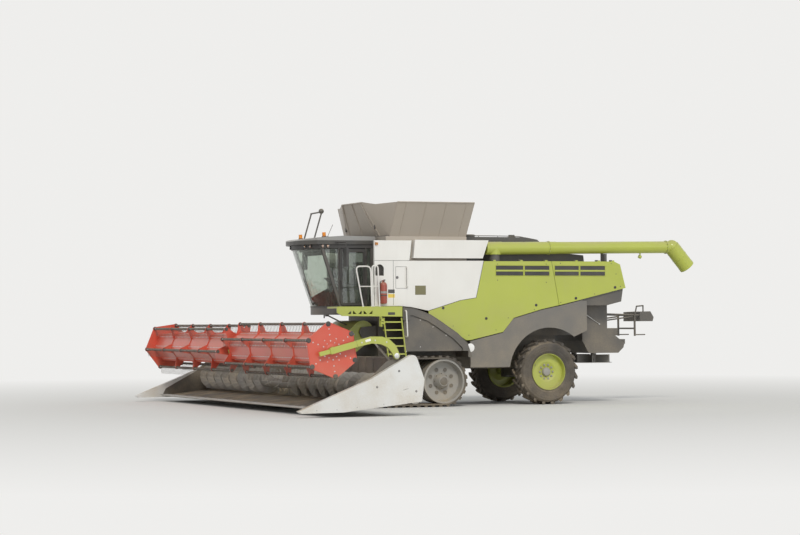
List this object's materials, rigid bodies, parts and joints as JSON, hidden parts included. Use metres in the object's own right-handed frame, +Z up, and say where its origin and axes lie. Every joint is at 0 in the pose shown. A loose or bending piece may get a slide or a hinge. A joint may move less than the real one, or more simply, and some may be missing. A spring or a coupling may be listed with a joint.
{
  "type": "combine harvester",
  "caption": "Half-track combine harvester with a wide cutting header, tined reel, raised tank flaps and a folded unloading tube.",
  "frame": {"origin": "on the ground under the middle of the whole machine, header included", "axes": "+X forward, +Y to the driver's left, +Z up"},
  "size_m": [11.9632, 12.3, 4.795],
  "materials": {
    "lime_paint": "satin paint",
    "white_paint": "satin paint",
    "dark_paint": "dusty satin paint",
    "grey_paint": "dusty satin paint",
    "tank_paint": "dusty matt paint",
    "red_paint": "satin paint",
    "steel": "worn",
    "tyre_rubber": "dusty",
    "black_plastic": "matt",
    "tinted_glass": "clear, lightly tinted",
    "amber_lens": "clear gloss",
    "seat_cloth": "woven"
  },
  "bodies": {
    "machine": {"main_frame": "dark_paint", "rear_axle": "dark_paint", "track_frames": "dark_paint", "track_wheels": "grey_paint", "track_belts": "tyre_rubber", "track_fenders": "dark_paint", "body_housing": "dark_paint", "base_panels": "grey_paint", "front_panels": "white_paint", "tank_panels": "white_paint", "grain_tank": "tank_paint", "tank_flaps": "tank_paint", "engine_block": "grey_paint", "engine_deck": "dark_paint", "rear_hood": "dark_paint", "chopper_housing": "dark_paint", "rear_carrier": "dark_paint", "unloading_turret": "dark_paint", "cab_frame": "dark_paint", "cab_roof": "grey_paint", "cab_glass": "tinted_glass", "operator_seat": "seat_cloth", "cab_controls": "black_plastic", "platform": "lime_paint", "handrails": "white_paint", "fire_extinguisher": "red_paint", "cab_mirrors": "black_plastic", "lamps": "amber_lens", "roof_aerials": "dark_paint"},
    "header": {"feeder_house": "lime_paint", "header_frame": "dark_paint", "header_dividers": "white_paint", "cutter_bar": "steel"},
    "intake_auger": {"auger_tube": "grey_paint", "auger_flights": "grey_paint"},
    "reel_arms": {"reel_arms": "lime_paint"},
    "reel_carriages": {"reel_carriages": "lime_paint"},
    "reel": {"reel_drum": "red_paint", "reel_tines": "steel"},
    "lift_barrels": {"lift_barrels": "dark_paint"},
    "lift_rods": {"lift_rods": "steel"},
    "arm_barrels": {"arm_barrels": "dark_paint"},
    "arm_rods": {"arm_rods": "steel"},
    "cab_door": {"cab_door": "black_plastic", "cab_door_glass": "tinted_glass"},
    "unloading_tube": {"unloading_tube": "lime_paint"},
    "ladder": {"ladder": "lime_paint"},
    "knuckle_left": {"knuckle_left": "dark_paint"},
    "knuckle_right": {"knuckle_right": "dark_paint"},
    "wheel_left": {"rear_rim_left": "lime_paint", "rear_tyre_left": "tyre_rubber"},
    "wheel_right": {"rear_rim_right": "lime_paint", "rear_tyre_right": "tyre_rubber"},
    "side_door_front_left": {"side_door_front_left": "lime_paint"},
    "side_door_rear_left": {"side_door_rear_left": "lime_paint"},
    "side_door_front_right": {"side_door_front_right": "lime_paint"},
    "side_door_rear_right": {"side_door_rear_right": "lime_paint"},
    "spreader_rotor_left": {"spreader_rotor_left": "grey_paint"},
    "spreader_rotor_right": {"spreader_rotor_right": "grey_paint"}
  },
  "joints": [
    {"name": "header_lift", "type": "hinge", "parent": "machine", "child": "header", "pos_m": [2.44164, 0, 1.75], "axis": [0, -1, 0], "range_deg": [-1.5, 21.6]},
    {"name": "auger_spin", "type": "hinge", "parent": "header", "child": "intake_auger", "pos_m": [4.13164, 0, 0.61], "axis": [0, 1, 0], "continuous": true},
    {"name": "reel_lift", "type": "hinge", "parent": "header", "child": "reel_arms", "pos_m": [3.75164, 0, 1.27], "axis": [0, -1, 0], "range_deg": [-15, 18]},
    {"name": "reel_shift", "type": "slide", "parent": "reel_arms", "child": "reel_carriages", "axis": [0.969, 0, -0.247], "range_m": [0, 0.24]},
    {"name": "reel_spin", "type": "hinge", "parent": "reel_carriages", "child": "reel", "pos_m": [5.15564, 0, 1.4], "axis": [0, 1, 0], "continuous": true},
    {"name": "lift_barrel_pivot", "type": "hinge", "parent": "machine", "child": "lift_barrels", "pos_m": [1.94164, 0, 0.76], "axis": [0, -1, 0], "range_deg": [-0.9, 12.6]},
    {"name": "lift_rod_slide", "type": "slide", "parent": "lift_barrels", "child": "lift_rods", "axis": [1, 0, 0], "range_m": [-0.026, 0.356]},
    {"name": "arm_barrel_pivot", "type": "hinge", "parent": "header", "child": "arm_barrels", "pos_m": [3.84664, 0, 1.14], "axis": [0, -1, 0], "range_deg": [-14.2, 17]},
    {"name": "arm_rod_slide", "type": "slide", "parent": "arm_barrels", "child": "arm_rods", "axis": [0.6597, 0, 0.7515], "range_m": [-0.041, 0.05]},
    {"name": "cab_door_hinge", "type": "hinge", "parent": "machine", "child": "cab_door", "pos_m": [2.42964, 0.985, 2.56], "axis": [0, 0, 1], "range_deg": [0, 85]},
    {"name": "unloading_swing", "type": "hinge", "parent": "machine", "child": "unloading_tube", "pos_m": [-0.66836, 1.37, 3.55], "axis": [0, 0, -1], "range_deg": [0, 100]},
    {"name": "ladder_swing", "type": "hinge", "parent": "machine", "child": "ladder", "pos_m": [2.38164, 1.785, 1.88], "axis": [0, 0, -1], "range_deg": [0, 90]},
    {"name": "steer_left", "type": "hinge", "parent": "machine", "child": "knuckle_left", "pos_m": [-2.01836, 0.94, 0.775], "axis": [0, 0, 1], "range_deg": [-30, 30]},
    {"name": "steer_right", "type": "hinge", "parent": "machine", "child": "knuckle_right", "pos_m": [-2.01836, -0.94, 0.775], "axis": [0, 0, 1], "range_deg": [-30, 30]},
    {"name": "wheel_spin_left", "type": "hinge", "parent": "knuckle_left", "child": "wheel_left", "pos_m": [-2.01836, 1.27, 0.775], "axis": [0, 1, 0], "continuous": true},
    {"name": "wheel_spin_right", "type": "hinge", "parent": "knuckle_right", "child": "wheel_right", "pos_m": [-2.01836, -1.27, 0.775], "axis": [0, 1, 0], "continuous": true},
    {"name": "side_door_front_left_hinge", "type": "hinge", "parent": "machine", "child": "side_door_front_left", "pos_m": [-1.21836, 1.53, 3.42], "axis": [1, 0, 0], "range_deg": [0, 80]},
    {"name": "side_door_rear_left_hinge", "type": "hinge", "parent": "machine", "child": "side_door_rear_left", "pos_m": [-3.21836, 1.53, 3.42], "axis": [1, 0, 0], "range_deg": [0, 80]},
    {"name": "side_door_front_right_hinge", "type": "hinge", "parent": "machine", "child": "side_door_front_right", "pos_m": [-1.21836, -1.53, 3.42], "axis": [-1, 0, 0], "range_deg": [0, 80]},
    {"name": "side_door_rear_right_hinge", "type": "hinge", "parent": "machine", "child": "side_door_rear_right", "pos_m": [-3.21836, -1.53, 3.42], "axis": [-1, 0, 0], "range_deg": [0, 80]},
    {"name": "rotor_spin_left", "type": "hinge", "parent": "machine", "child": "spreader_rotor_left", "pos_m": [-3.68836, 0.53, 1.2], "axis": [0, 0, 1], "continuous": true},
    {"name": "rotor_spin_right", "type": "hinge", "parent": "machine", "child": "spreader_rotor_right", "pos_m": [-3.68836, -0.53, 1.2], "axis": [0, 0, -1], "continuous": true}
  ],
  "couplings": [
    {"joint": "lift_barrel_pivot", "follows": "header_lift", "ratio": 0.57779},
    {"joint": "lift_rod_slide", "follows": "header_lift", "m_per_rad": 0.93885},
    {"joint": "arm_barrel_pivot", "follows": "reel_lift", "ratio": 0.93616},
    {"joint": "arm_rod_slide", "follows": "reel_lift", "m_per_rad": 0.1547},
    {"joint": "steer_right", "follows": "steer_left", "ratio": 1}
  ]
}
